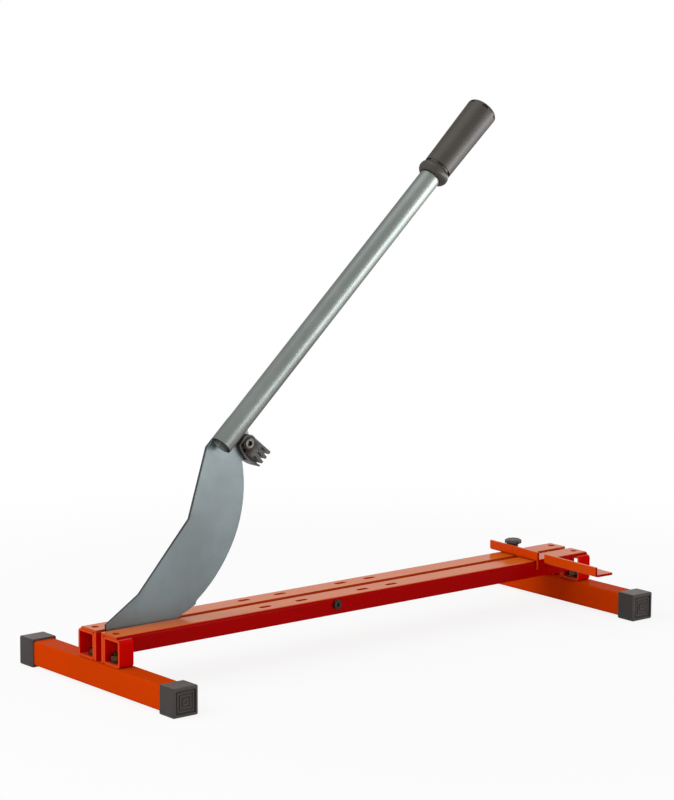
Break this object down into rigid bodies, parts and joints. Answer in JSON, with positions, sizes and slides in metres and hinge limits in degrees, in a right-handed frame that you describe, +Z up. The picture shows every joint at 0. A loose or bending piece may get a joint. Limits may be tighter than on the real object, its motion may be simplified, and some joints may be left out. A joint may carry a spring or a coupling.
{
  "type": "laminate cutter",
  "caption": "Lever guillotine for laminate boards: a curved blade on a long tube handle swings down between steel rails on square feet, with a clamped fence.",
  "frame": {"origin": "on the floor under the middle of the frame, at the bottom centre of the bounding box", "axes": "+X along the rails from the blade's pivot towards the fence, +Y along the feet away from the handle tube's side, +Z up"},
  "size_m": [0.773, 0.316, 0.6709],
  "materials": {
    "paint": "glossy orange-red powder coat",
    "plastic": "dark grey moulded plastic, lightly worn satin",
    "blade_steel": "plain ground steel plate, satin",
    "tube_steel": "bright zinc plating",
    "zinc": "zinc plated fasteners",
    "dark_steel": "blackened steel",
    "nylon": "natural nylon",
    "brass": "turned brass"
  },
  "bodies": {
    "frame": {"foot_tube_front": "paint", "foot_tube_rear": "paint", "spacer_box_front_left": "paint", "spacer_box_front_right": "paint", "spacer_box_rear_left": "paint", "spacer_box_rear_right": "paint", "pivot_cheek_left": "paint", "pivot_cheek_right": "paint", "gap_strip_left": "paint", "gap_strip_right": "paint", "rail_left": "paint", "rail_right": "paint", "foot_cap_front_left": "plastic", "foot_cap_front_right": "plastic", "foot_cap_rear_left": "plastic", "foot_cap_rear_right": "plastic", "frame_bolt_front_left": "zinc", "frame_bolt_front_right": "zinc", "frame_bolt_rear_left": "zinc", "frame_bolt_rear_right": "zinc", "frame_washer_front_left": "zinc", "frame_washer_front_right": "zinc", "frame_washer_rear_left": "zinc", "frame_washer_rear_right": "zinc", "frame_nut_front_left": "zinc", "frame_nut_front_right": "zinc", "frame_nut_rear_left": "zinc", "frame_nut_rear_right": "zinc", "tie_washer": "zinc", "tie_nut": "zinc", "tie_spacer": "zinc", "pivot_bolt": "zinc", "pivot_nut": "zinc", "pivot_washer_left": "zinc", "pivot_washer_right": "zinc", "tie_bolt": "dark_steel", "pivot_disc_left": "nylon", "pivot_disc_right": "nylon"},
    "lever": {"blade": "blade_steel", "pivot_bush": "zinc", "handle_tube": "tube_steel", "handle_grip": "plastic", "buffer": "plastic", "buffer_screw": "dark_steel", "buffer_nut": "zinc"},
    "fence_carriage": {"fence_bolt": "zinc"},
    "fence": {"fence": "paint", "fence_washer": "zinc"},
    "knob": {"fence_knob": "plastic", "knob_insert": "brass"}
  },
  "joints": [
    {"name": "lever_pivot", "type": "hinge", "parent": "frame", "child": "lever", "pos_m": [-0.345, 0, 0.0525], "axis": [0, -1, 0], "range_deg": [-40, 40]},
    {"name": "fence_slide", "type": "slide", "parent": "frame", "child": "fence_carriage", "axis": [1, 0, 0], "range_m": [-0.004, 0.004]},
    {"name": "fence_swing", "type": "hinge", "parent": "fence_carriage", "child": "fence", "pos_m": [0.299, 0.0215, 0.0695], "axis": [0, 0, 1], "range_deg": [-0.8, 7.4]},
    {"name": "knob_turn", "type": "hinge", "parent": "fence_carriage", "child": "knob", "pos_m": [0.299, 0.0215, 0.0695], "axis": [0, 0, 1], "range_deg": [0, 720]}
  ]
}
